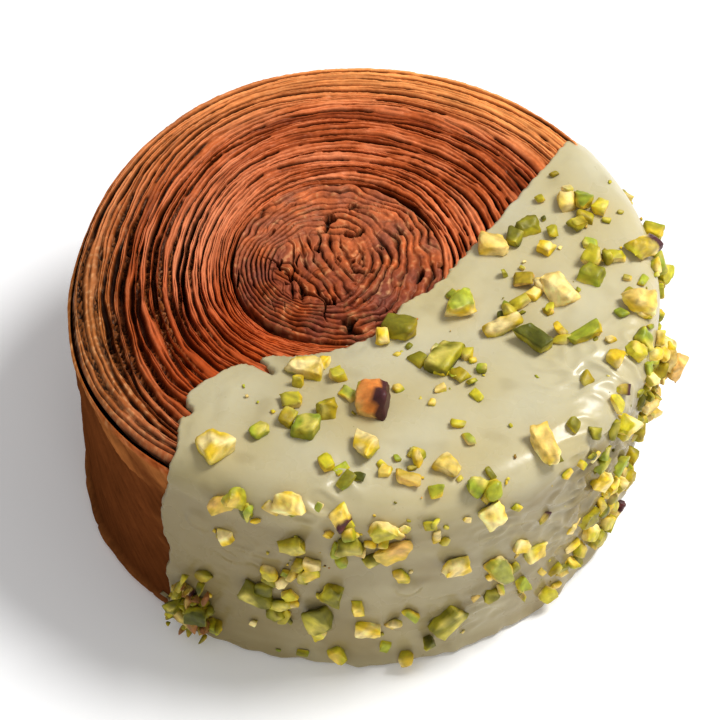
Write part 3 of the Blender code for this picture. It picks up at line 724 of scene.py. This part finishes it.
def make_wall():
    """The roll's outermost skin: over the rim, down the wall and under it, with soft folds."""
    azimuth = AZIMUTHS[None, ::2]
    turn = turn_of(azimuth)
    start = squeezed(ring_of(LAYER_COUNT + 0.62 + turn), azimuth)
    rows, tints, flows = [], [], []

    def add(points, colour):
        """One row of the skin, sunk away where the icing covers it."""
        points = np.broadcast_to(points, (1, azimuth.size, 3)).copy()
        _, dipped = dip_frame(points[..., :2])
        inward = WALL_SINK * ramp(dipped, *SUNK)
        away = points[..., :2] / np.linalg.norm(points[..., :2], axis=-1)[..., None]
        points[..., :2] -= away * inward[..., None]
        z = points[..., 2]
        z += np.where(z < FOOT_ROUND, inward, 0) - np.where(z > ROLL_HEIGHT - RIM_ROUND, inward, 0)
        rows.append(points[0])
        tints.append(np.broadcast_to(colour, points.shape)[0])
        lie = azimuth_of(points) * WALL_RADIUS + z * 0.8
        radius = np.hypot(points[..., 0], points[..., 1])
        flows.append(stretched(lie, z * 0.15 - lie * 0.05, radius)[0])

    def folds(points):
        run = azimuth_of(points) % math.tau * WALL_RADIUS
        z = points[..., 2]
        slanted = stretched(run * 0.6 + z * 0.8, z * 0.3, 0.0)
        bulge = noises(slanted, (0.5, 9, 40), (0.3, 3.5, 41))
        creased = ramp(np.abs(noise(slanted, 8 * MM, 90)), 0.1, 0.0)
        bulge = bulge - 0.55 * creased * ramp(noise(points, 12 * MM, 91), -0.3, 0.2)
        return (bulge + noises(points, (0.3, 22, 42), (0.07, 1.5, 43)) - 0.3) * MM

    def ledges(points):
        """Thin edges of torn outer sheets, running round and slowly down the wall."""
        angle = azimuth_of(points) % math.tau
        step = 0.0
        for degrees, height, slope, size in LEDGES:
            edge = height * MM + slope * MM * (angle - math.radians(degrees))
            edge = edge + 0.9 * MM * noise(stretched(angle, height, 0.0), 0.22, 44)
            below = ramp(points[..., 2], edge + 0.4 * MM, edge)
            step = step + size * MM * bump_at(angle, degrees, 30) * below
        return -step

    def skin(points, push, brightness):
        """The wall's colour: lighter where it is pushed out, as painted light, and darker in its creases, as
        painted shade; brightness makes it darker towards the foot.
        """
        z = points[..., 2]
        fibres = stretched(azimuth_of(points) * 12 * MM + z * 0.3, z, 0.0)
        tone = push / (0.7 * MM) + 0.5 * noise(fibres, 2.2 * MM, 46) + 0.4 * noise(points, 7 * MM, 47)
        return mix(WALL_DARK, WALL_LIGHT, 0.46 + 0.36 * tone) * brightness

    # painted shade: the hidden inner row, deep between the outermost layer and the skin, is near black, and
    # the rows above it darken down into that gap
    add(around(start - HIDDEN_SLOPE, azimuth, ROLL_HEIGHT - BODY_DEPTH), PAINTED_SHADE_BROWN)
    for down, share in ((3.0, 0.0), (1.2, 0.25), (0.45, 0.8)):
        ring = start + (1.2 - down) * 0.08 * MM
        height = ROLL_HEIGHT - rim_drop(ring) - down * MM
        points = around(ring, azimuth, height)
        add(points, pastry_tint(points[..., :2], np.broadcast_to(share, azimuth.shape), 0.1))
    begin = np.arcsin(np.clip((start + 0.35 * MM - (ROLL_RADIUS - RIM_ROUND)) / RIM_ROUND, 0, 1))
    for share in np.linspace(0, 1, 12):
        bend = begin + (QUARTER - begin) * share
        radius = ROLL_RADIUS - RIM_ROUND + RIM_ROUND * np.sin(bend)
        base = around(radius, azimuth, ROLL_HEIGHT - RIM_ROUND * (1 - np.cos(bend)))
        push = folds(base) * share + ledges(base) * ramp(share, 0.3, 1.0)
        way_round = stretched(azimuth, 0.0, 0.0)
        ragged = 0.35 * noise(way_round, 0.35, 45) + 0.3 * noise(way_round, 0.05, 55)
        height = base[..., 2] + ragged * MM * (1 - share)
        mottle = 0.2 + noises(base, (0.6, 5, 48), (0.6, 1.6, 49))
        everywhere = np.ones(base.shape[:2])
        rim_colour = pastry_tint(base[..., :2], everywhere, mottle)
        colour = mix(rim_colour, skin(base, push, 1.0), ramp(share, 0.2, 1.0) * everywhere)
        add(around(radius + push, azimuth, height), colour)
    for height in np.linspace(ROLL_HEIGHT - RIM_ROUND, FOOT_ROUND, WALL_ROWS)[1:]:
        base = wall_point(0, azimuth, height)
        push = folds(base) + ledges(base)
        add(wall_point(push, azimuth, height), skin(base, push, 0.75 + 0.25 * height / ROLL_HEIGHT))
    foot = ROLL_RADIUS - wall_lean(azimuth, 0)
    for bend in np.linspace(0, QUARTER, 6)[1:]:
        height = FOOT_ROUND * (1 - np.sin(bend))
        radius = ROLL_RADIUS - wall_lean(azimuth, height) - FOOT_ROUND * (1 - np.cos(bend))
        base = around(radius, azimuth, height)
        push = folds(base) * (1 - bend / QUARTER)
        add(around(radius + push, azimuth, height), skin(base, push, 0.7))
    for layers in range(LAYER_COUNT, 0, -1):
        groove = layers % 2 == 0  # the turns of the dough show as shallow grooves underneath
        base = around(foot * layers / (LAYER_COUNT + 1.5), azimuth, 0.0)
        if groove:
            base[..., 2] = 0.35 * MM * np.clip(0.7 + noise(base, 9 * MM, 50), 0, 1.4)
        tone = 0.6 * noise(base, 7 * MM, 51) - 0.1
        # painted shade: the grooves are coloured darker than the turns between them
        add(base, mix(DEEP_BROWN, BROWN, 0.5 + tone) * (0.6 if groove else 1.0))
    top = np.array((0.0, 0.0, ROLL_HEIGHT - BODY_DEPTH))
    return ringed("pastry_wall", np.stack(rows), top, np.zeros(3), np.stack(tints), np.stack(flows))


def pastry_material(name, streaks, shine):
    nodes = Nodes(name)
    flow = nodes.attribute("flow", "Vector")
    fibre = nodes.noise(900, 4, flow)
    grain = nodes.noise(1100)
    blotch = nodes.noise(170)
    shade = nodes.times(nodes.spread(fibre, 0.55, 1.45), nodes.spread(blotch, 0.75, 1.25))
    shade = nodes.times(shade, nodes.spread(grain, 0.85, 1.15))
    colour = nodes.scaled(nodes.attribute("tint"), shade)
    rough = nodes.spread(nodes.noise(260), 0.28, 0.62)
    normal = nodes.bump(grain, 0.22 * MM, 0.5)
    normal = nodes.bump(fibre, 0.35 * MM, streaks, Normal=normal)
    nodes.set(Base_Color=colour, Roughness=rough, Normal=normal, Specular_IOR_Level=shine)
    nodes.set(Specular_Tint=(1.0, 0.72, 0.5, 1.0))
    return nodes.material


# ---- The icing ----

ICING = srgb(197, 189, 157)
ICING_WARM = srgb(190, 176, 130)
ICING_SHADE_AND_THIN = srgb(142, 126, 84)  # painted shade low on the walls and at the left and right, also standing for thin icing where the dough shows through
ICING_FOOT_ROUND = 1.6 * MM
ICING_SPAN = (-150.0, 60.0)  # the azimuths that its columns cover, in degrees
EDGE_ENDS = (43, -134)  # where its edge runs out to the rim
ICING_ROWS = (  # (from, to, step) along the icing, in mm
    (0.4, 6, 0.8), (6, 18, 0.3), (18, 46, 0.55), (46, 60, 0.42), (60, 97.5, 0.55),
)
EDGE_NOTCHES = (  # (x, y, reach, width): where a layer shows through a gap in the icing's edge
    (-33, -30.5, 3.2, 0.9), (-35.5, -34, 2.2, 0.7), (-17.5, -21, 3.0, 0.9),
)
DRIPS = (  # (azimuth, distance, size, height) of the blobs
    (-81, 77, 3.4, 1.1), (-66, 84, 3.0, 0.5), (-122, 66, 3.4, 0.5), (-20, 80, 3.6, 0.7),
)
WRINKLES = (  # (azimuth, distance, size, height): where the icing was dragged into thin folds
    (-94, 48, 3.5, 1.0), (-99, 56, 3.5, 1.0), (-30, 45, 6, 0.6), (-23, 53, 7, 0.7), (-41, 64, 8, 1.0),
    (-46, 76, 8, 0.8), (-29, 72, 7, 1.0), (-62, 66, 6, 0.45), (-112, 72, 7, 0.4), (-70, 90, 7, 0.5),
)


def icing_columns():
    """Azimuths over the dipped half, closer together where the icing's edge runs out to the rim."""
    degrees = [ICING_SPAN[0]]
    while degrees[-1] < ICING_SPAN[1]:
        near_edge = min(abs(degrees[-1] - end) for end in EDGE_ENDS)
        degrees.append(degrees[-1] + 0.27 + 0.23 * float(ramp(near_edge, 6, 14)))
    return np.radians(np.array(degrees))


def icing_profile(azimuth):
    """Rows down the icing: points of its plain surface, and the way out of it."""
    alongs = np.concatenate([np.arange(*stretch) for stretch in ICING_ROWS]) * MM
    alongs = alongs[alongs < WALL_END - 2.2 * MM]
    rows, ways = [], []
    radial = np.stack((np.cos(azimuth), np.sin(azimuth), np.zeros_like(azimuth)), -1)
    up = np.array((0.0, 0.0, 1.0))
    for along in alongs:
        bend = min(max((along - ICING_FLAT) / ICING_RIM_ROUND, 0.0), QUARTER)
        rows.append(icing_point(along, azimuth))
        ways.append(radial * math.sin(bend) + up * math.cos(bend))
    low = rows[-1][:, 2].mean()
    rounding = ICING_FOOT_ROUND
    for height in np.linspace(low, rounding, 3)[1:]:
        rows.append(wall_point(ICING_PROUD, azimuth, height))
        ways.append(radial)
    foot = ROLL_RADIUS + ICING_PROUD - wall_lean(azimuth, 0)
    for bend in np.linspace(0, QUARTER, 6)[1:]:
        height = rounding * (1 - math.sin(bend))
        rows.append(wall_point(ICING_PROUD - rounding * (1 - math.cos(bend)), azimuth, height))
        ways.append(radial * math.cos(bend) - up * math.sin(bend))
    for share in np.linspace(1, 0, 40)[1:-1]:
        rows.append(around((foot - rounding) * share, azimuth, 0.0))
        ways.append(np.broadcast_to(-up, radial.shape))
    return np.stack(rows), np.stack(ways)


def make_icing():
    """The coat: a thick smooth skin that ends in a rounded lip, sunk into the dough beyond its edge."""
    azimuth = icing_columns()
    points, ways = icing_profile(azimuth)
    _, dipped = dip_frame(points[..., :2])
    angle, z = azimuth_of(points), points[..., 2]
    on_top = ramp(ways[..., 2], 0.2, 0.8)
    below = ramp(-ways[..., 2], 0.5, 0.9)
    ragged = noises(points, (0.9, 9, 60), (0.4, 3, 61), (0.2, 1.2, 69))
    ragged = ragged * (1 - 0.5 * bump_at(angle, 35, 25)) + 2.1 * noise(points, 12 * MM, 70) * (1 - on_top)
    ragged += 0.35 * noise(points, 1.5 * MM, 73)
    inside = dipped / MM + ragged
    for x, y, reach, wide in EDGE_NOTCHES:
        away = points[..., :2] - np.array((x, y)) * MM
        run = np.array((-y, x)) / math.hypot(x, y)
        run_along = away @ run / MM
        aside = away @ np.array((run[1], -run[0])) / MM
        notch = hump(aside / wide) * ramp(run_along, reach, reach - 1.5) * ramp(run_along, -9, -6)
        inside -= (reach + 3) * notch * on_top
    rise = ramp(inside, -0.3, 5) * 0.55 - 0.55
    lip = -np.clip(0.3 - inside, 0, 3) ** 1.6 * 1.8
    offset = (rise * (0.35 + 0.65 * on_top) + lip) * MM
    waves = noises(points, (0.32, 24, 62), (0.13, 9, 63))
    drag = stretched(points[..., 0] * 0.35 + z * 0.2, points[..., 1] * 0.6, z * 0.8)
    waves += 0.1 * noise(drag, 2.2 * MM, 64)
    right = bump_at(angle, -35, 26) * ramp(z, 44 * MM, 34 * MM)
    waves += 0.45 * right * np.abs(noise(drag, 5 * MM, 65))
    runs = noise(stretched(angle * WALL_RADIUS, z * 0.12, 0.0), 5 * MM, 66)
    waves += 0.35 * np.clip(runs, 0, 1) * ramp(z, 30 * MM, 10 * MM)
    skirt = ramp(z, 3.2 * MM, 0.6 * MM) * (1 - below)
    frill = noise(stretched(angle * WALL_RADIUS, 0.0, 0.0), 3.5 * MM, 67)
    waves += skirt * np.clip(0.5 + 0.9 * frill, -0.1, 1.3)
    folds = np.clip(1 - 3.2 * np.abs(noise(drag + 0.2 * points, 3.4 * MM, 71)), -0.2, 1)

    def distance(degrees, place):
        return np.linalg.norm(points - icing_point(place * MM, math.radians(degrees)), axis=-1)

    for degrees, place, spread, height in WRINKLES:
        waves += height * hump(distance(degrees, place) / (spread * MM)) * folds
    for degrees, place, spread, height in DRIPS:
        waves += height * ramp(distance(degrees, place), spread * MM, 0.35 * spread * MM)
    settled = ramp(inside, 0.5, 4)
    offset += waves * MM * settled * (1 - below)
    offset = np.where(below > 0.5, np.clip(lip, -4, 0) * MM * 0.8, offset)
    points = points + ways * offset[..., None]
    points[..., 2] = np.maximum(points[..., 2], 0.0)

    warm = 0.5 + 0.8 * noise(points, 14 * MM, 68)
    tint = mix(ICING, ICING_WARM, warm)
    # painted shade: darker down the wall below the rim, most at the left and the right, and in streaks and
    # patches; it also stands for thin icing where the dough shows through
    low = ramp(points[..., 2], ROLL_HEIGHT + 1 * MM, ROLL_HEIGHT - 9 * MM)
    shade_and_thin = bump_at(angle, -128, 50) * (0.3 + 0.7 * low) + 0.3 * low + 0.9 * low * bump_at(angle, -25, 42)
    streaks = noise(drag, 3 * MM, 88) * (0.3 + 0.7 * low)
    shade_and_thin = shade_and_thin * (0.85 + 0.3 * noise(points, 10 * MM, 72)) + 0.16 * streaks
    shade_and_thin += 0.2 * ramp(noise(points, 5 * MM, 89), 0.3, 0.8)
    tint = mix(tint, ICING_SHADE_AND_THIN, shade_and_thin)
    count, columns = points.shape[:2]
    index = np.arange(count * columns).reshape(count, columns)
    kept = dipped > -3.2 * MM
    mask = grid_quads(kept[:, :-1], kept[:, 1:]).all(-1)
    quads = grid_quads(index[:, :-1], index[:, 1:])[mask]
    made = make_mesh("icing", points, quads.tolist(), tint)
    body = bmesh.new()
    body.from_mesh(made.data)
    loose = [vertex for vertex in body.verts if not vertex.link_faces]
    bmesh.ops.delete(body, geom=loose, context="VERTS")
    edges = [edge for edge in body.edges if edge.is_boundary]
    centre = body.verts.new(sum((edge.verts[0].co for edge in edges), Vector()) / len(edges))
    for edge in edges:
        body.faces.new((centre, *edge.verts))
    bmesh.ops.recalc_face_normals(body, faces=body.faces)
    body.to_mesh(made.data)
    body.free()
    made.data.shade_smooth()
    return made


def icing_material():
    nodes = Nodes("pistachio_icing_satin")
    speck = nodes.noise(700, 4)
    cloud = nodes.noise(60, 2)
    shade = nodes.times(nodes.spread(speck, 0.97, 1.03), nodes.spread(cloud, 0.94, 1.06))
    colour = nodes.scaled(nodes.attribute("tint"), shade)
    rough = nodes.spread(nodes.noise(120), 0.16, 0.42)
    normal = nodes.bump(nodes.noise(500), 0.12 * MM, 0.5)
    nodes.set(Base_Color=colour, Roughness=rough, Normal=normal, Specular_IOR_Level=0.42)
    nodes.set(Subsurface_Weight=0.25, Subsurface_Scale=0.0012, Subsurface_Radius=(1.0, 0.8, 0.45))
    return nodes.material


# ---- The chopped pistachios ----

YELLOW = srgb(227, 190, 36)
LIME = srgb(188, 176, 32)
LEAF = srgb(150, 162, 38)
GREEN = srgb(122, 116, 18)
DARK_GREEN = srgb(78, 80, 12)
CREAM = srgb(246, 220, 146)
OLIVE_NUT = srgb(166, 142, 18)
SKIN = srgb(74, 32, 34)
TAN = srgb(216, 180, 88)
HUSK = srgb(150, 98, 52)
PEACH = srgb(240, 190, 104)
ORANGE = srgb(236, 140, 60)
LOOKS = {  # a piece's two colours of flesh, and its skin's
    "y": (YELLOW, CREAM, LIME), "l": (LIME, YELLOW, LEAF), "c": (CREAM, YELLOW, TAN),
    "o": (OLIVE_NUT, LIME, GREEN), "g": (GREEN, LIME, DARK_GREEN), "v": (LEAF, LIME, GREEN),
    "e": (CREAM, YELLOW, LEAF), "n": (CREAM, TAN, TAN), "p": (CREAM, YELLOW, OLIVE_NUT),
    "r": (PEACH, YELLOW, OLIVE_NUT), "h": (ORANGE, PEACH, ORANGE), "t": (HUSK, OLIVE_NUT, HUSK),
}
# The looks of the pieces in LARGE_NUTS and in the clumps, in that order, and of the others by lot.
LARGE_LOOKS = "hyevylcoyryggegcoegcnyglpcccyrogtg"
COMMON_LOOKS = "yyyyyyyylllllllceeeoooooggggvvrp"
LOOK_SEED = 21
BIT_SEED = 33
CRUMB_SEED = 34
BITS = (  # (count, (shortest, longest), looks, cuts, most lift, where they gather)
    (185, (2.4, 5.2), COMMON_LOOKS, 2, 0, None),
    (50, (1.0, 2.2), COMMON_LOOKS, 1, 0, None),
    (80, (1.0, 2.8), "ttgooggolt", 1, 3.0, (-124, 2.4, 92, 3.6)),
    (24, (2.0, 4.5), "nnccyyol", 3, 2.5, (-9, 5, 72, 5)),
)
CRUMBS = ((130, (0.35, 1.2), COMMON_LOOKS + "tnhhh", 0, 0, None),)


def nut_piece(corners, turn, size, look, draw, cuts):
    """One piece with flat cut faces and worn edges, with the kernel's skin on one side of it."""
    body = bmesh.new()
    for corner in corners:
        body.verts.new(corner)
    hull = bmesh.ops.convex_hull(body, input=body.verts)
    inside = {piece for piece in hull["geom_interior"] if isinstance(piece, bmesh.types.BMVert)}
    bmesh.ops.delete(body, geom=list(inside), context="VERTS")
    middle = sum(corners, Vector()) / len(corners)
    for _ in range(4 if cuts > 3 else 2):
        way = Vector([draw.gauss(0, 1) for _ in range(3)]).normalized()
        reach = max((corner - middle).dot(way) for corner in corners)
        geometry = body.verts[:] + body.edges[:] + body.faces[:]
        spot = middle + way * reach * draw.uniform(0.64, 0.9)
        bmesh.ops.bisect_plane(body, geom=geometry, plane_co=spot, plane_no=way, clear_outer=True)
        bmesh.ops.holes_fill(body, edges=[edge for edge in body.edges if edge.is_boundary])
    bmesh.ops.dissolve_limit(body, angle_limit=0.3, verts=body.verts, edges=body.edges)
    bmesh.ops.triangulate(body, faces=body.faces)
    bmesh.ops.remove_doubles(body, verts=body.verts, dist=0.02 * MM)
    if cuts:
        bmesh.ops.subdivide_edges(body, edges=body.edges[:], cuts=cuts, use_grid_fill=True)
        bmesh.ops.triangulate(body, faces=body.faces)
        axes = dict.fromkeys(("use_axis_x", "use_axis_y", "use_axis_z"), True)
        bmesh.ops.smooth_vert(body, verts=body.verts, factor=0.45, **axes)
    bmesh.ops.recalc_face_normals(body, faces=body.faces)
    body.normal_update()
    points = np.array([vertex.co[:] for vertex in body.verts])
    normals = np.array([vertex.normal[:] for vertex in body.verts])
    faces = [[vertex.index for vertex in face.verts] for face in body.faces]
    body.free()
    shift = np.array([draw.uniform(0, 9) for _ in range(3)])
    local = (points - np.array(middle)) @ np.array(turn)
    rough = noises(points + shift, (0.34, 2.2, 80), (0.16, 0.9, 81))
    points = points + normals * (rough * MM * min(1, min(size) / (4 * MM)))[:, None]
    flesh, other, skin = LOOKS[look]
    reach = np.abs(local).max(0) + 1e-6
    way = np.array([draw.uniform(-0.5, 0.5), draw.uniform(-0.6, 0.6), draw.choice((-1, 1))])
    way /= np.linalg.norm(way)
    toward = (local / reach) @ way
    spot = local + shift
    patch = noise(spot, 3 * MM, 83)
    tint = mix(flesh, other, 0.42 + 1.8 * patch)
    tint = mix(tint, skin, 0.5 * ramp(toward, -0.35, 0.6))
    tint = mix(tint, CREAM, 0.3 * ramp(-toward, 0.2, 0.9) * ramp(patch, -0.2, 0.3))
    facing = normals @ np.array(turn) @ way
    covered = ramp(facing + 0.35 * noise(spot, 1.6 * MM, 84), 0.42, 0.62)
    tint = mix(tint, skin, covered * draw.uniform(0.5, 1.0))
    if look in "hp":
        end = local[:, 0] / reach[0] + 0.3 * patch
        tint = mix(tint, LIME, ramp(-end, 0.55, 0.75))
        tint = mix(tint, SKIN, ramp(end, 0.35, 0.5))
    tint = tint * (1 + 0.5 * noise(spot, 1.1 * MM, 85))[:, None]
    tint = tint * draw.uniform(0.78, 1.12)
    return points, faces, np.clip(tint, 0, 1)


def join_pieces(name, pieces):
    points, faces, tints, start = [], [], [], 0
    for some, more, tint in pieces:
        points.append(some)
        faces += [[index + start for index in face] for face in more]
        tints.append(tint)
        start += len(some)
    return make_mesh(name, np.concatenate(points), faces, np.concatenate(tints))


def make_nuts():
    draw = random.Random(LOOK_SEED)
    pieces = []
    for number, (corners, turn, size) in enumerate(chopped_nuts()):
        look = LARGE_LOOKS[number] if number < len(LARGE_LOOKS) else draw.choice(COMMON_LOOKS)
        pieces.append(nut_piece(corners, turn, size, look, draw, 4 if max(size) > 5 * MM else 3))
    return join_pieces("chopped_pistachios", pieces)


def scattered(draw, lengths, looks, cuts, lift, where):
    """One smaller piece at a drawn place, or none where none would lie."""
    along = WALL_END * math.sqrt(draw.random())
    azimuth = DIP_AZIMUTH + draw.uniform(-1.75, 1.75)
    if where:
        degrees, turn, place, spread = where
        azimuth, along = math.radians(draw.gauss(degrees, turn)), draw.gauss(place, spread) * MM
    elif draw.random() > 0.4 * nut_weight(along, azimuth) * min(1, ROLL_RADIUS / along):
        return None
    length = draw.uniform(*lengths) * MM
    width = length * draw.uniform(0.45, 0.9)
    corners, turn, size = placed_nut(min(along, WALL_END), azimuth, length, width, draw.uniform(0, 180), draw)
    out = icing_frame(min(along, WALL_END), azimuth)[1]
    corners = [corner + out * draw.uniform(0, lift) * MM for corner in corners]
    if min(corner.z for corner in corners) < 0.3 * MM:
        return None
    if min(dip_frame(corner.xy)[1] for corner in corners) < 1.2 * MM:
        return None
    return nut_piece(corners, turn, size, draw.choice(looks), draw, cuts)


def make_scattered(name, seed, kinds):
    """One mesh of smaller pieces, so many of each kind."""
    draw = random.Random(seed)
    pieces = []
    for count, *rules in kinds:
        made = 0
        while made < count:
            piece = scattered(draw, *rules)
            if piece:
                pieces.append(piece)
                made += 1
    return join_pieces(name, pieces)


def nut_material():
    nodes = Nodes("chopped_pistachio")
    shade = nodes.spread(nodes.noise(1500, 4), 0.8, 1.2)
    colour = nodes.scaled(nodes.attribute("tint"), shade)
    rough = nodes.spread(nodes.noise(600), 0.32, 0.65)
    normal = nodes.bump(nodes.noise(1400), 0.2 * MM, 0.5)
    nodes.set(Base_Color=colour, Roughness=rough, Normal=normal, Specular_IOR_Level=0.32)
    nodes.set(Subsurface_Weight=0.06, Subsurface_Scale=0.0008)
    return nodes.material


# ---- Light, floor and camera ----

CAMERA_TARGET = Vector((0, 0, 22.5 * MM))
CAMERA_ELEVATION = math.radians(52)
CAMERA_DISTANCE = 0.85
CAMERA_LENS = 220
CAMERA_SHIFT = (-0.0011, -0.004)
LIGHTS = (("key", (0.46, 0.14, 0.76), 0.34, 7.9), ("fill", (0.15, -0.75, 0.35), 0.5, 0.9))
LIGHT_TARGET = Vector((0, 0, 0.02))
WORLD_STRENGTH = 0.42


def area_light(name, place, size, watts):
    light = bpy.data.lights.new(name, "AREA")
    light.shape = "DISK"
    light.size = size
    light.energy = watts
    made = linked(name, light)
    made.location = place
    made.rotation_euler = (LIGHT_TARGET - Vector(place)).to_track_quat("-Z", "Y").to_euler()


def make_studio():
    """A white floor, a key light from behind at the right with a weak fill, and the camera."""
    scene = bpy.context.scene
    scene.view_settings.view_transform = "Standard"
    world = bpy.data.worlds.new("studio")
    scene.world = world
    world.use_nodes = True
    background = world.node_tree.nodes["Background"]
    background.inputs["Color"].default_value = (1, 1, 1, 1)
    background.inputs["Strength"].default_value = WORLD_STRENGTH
    for light in LIGHTS:
        area_light(*light)

    body = bmesh.new()
    bmesh.ops.create_grid(body, x_segments=2, y_segments=2, size=3)
    mesh = bpy.data.meshes.new("floor")
    body.to_mesh(mesh)
    body.free()
    floor = linked("floor", mesh)
    nodes = Nodes("floor_white")
    shade = nodes.spread(nodes.noise(3, 2), 0.94, 0.96)
    mixed = nodes.add("ShaderNodeCombineColor", {0: shade, 1: shade, 2: shade})
    nodes.set(Base_Color=mixed.outputs[0], Roughness=0.9)
    nodes.set(Emission_Color=(1, 1, 1, 1), Emission_Strength=0.08)
    floor.data.materials.append(nodes.material)

    camera = linked("camera", bpy.data.cameras.new("camera"))
    scene.camera = camera
    back = Vector((0, -math.cos(CAMERA_ELEVATION), math.sin(CAMERA_ELEVATION)))
    camera.location = CAMERA_TARGET + back * CAMERA_DISTANCE
    camera.rotation_euler = (-back).to_track_quat("-Z", "Y").to_euler()
    camera.data.lens = CAMERA_LENS
    camera.data.sensor_width = 36
    camera.data.shift_x, camera.data.shift_y = CAMERA_SHIFT
    camera.data.clip_start, camera.data.clip_end = 0.05, 20


# ---- Putting it together ----

pastry_look = pastry_material("baked_pastry_crust", 0.5, 0.22)
wall_look = pastry_material("baked_pastry_wall", 0.35, 0.0)
icing_look = icing_material()
nut_look = nut_material()
pieces = [(piece, "pastry", pastry_look) for piece in (*make_layers(), make_heart())]
pieces.append((make_wall(), "pastry", wall_look))
pieces.append((make_icing(), "pistachio_icing", icing_look))
pieces.append((make_nuts(), "pistachio_icing", nut_look))
pieces.append((make_scattered("pistachio_bits", BIT_SEED, BITS), "pistachio_icing", nut_look))
pieces.append((make_scattered("pistachio_crumbs", CRUMB_SEED, CRUMBS), "pistachio_icing", nut_look))
for piece, node, look in pieces:
    piece.data.materials.append(look)
    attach(piece, "root")
    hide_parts(node)
make_studio()
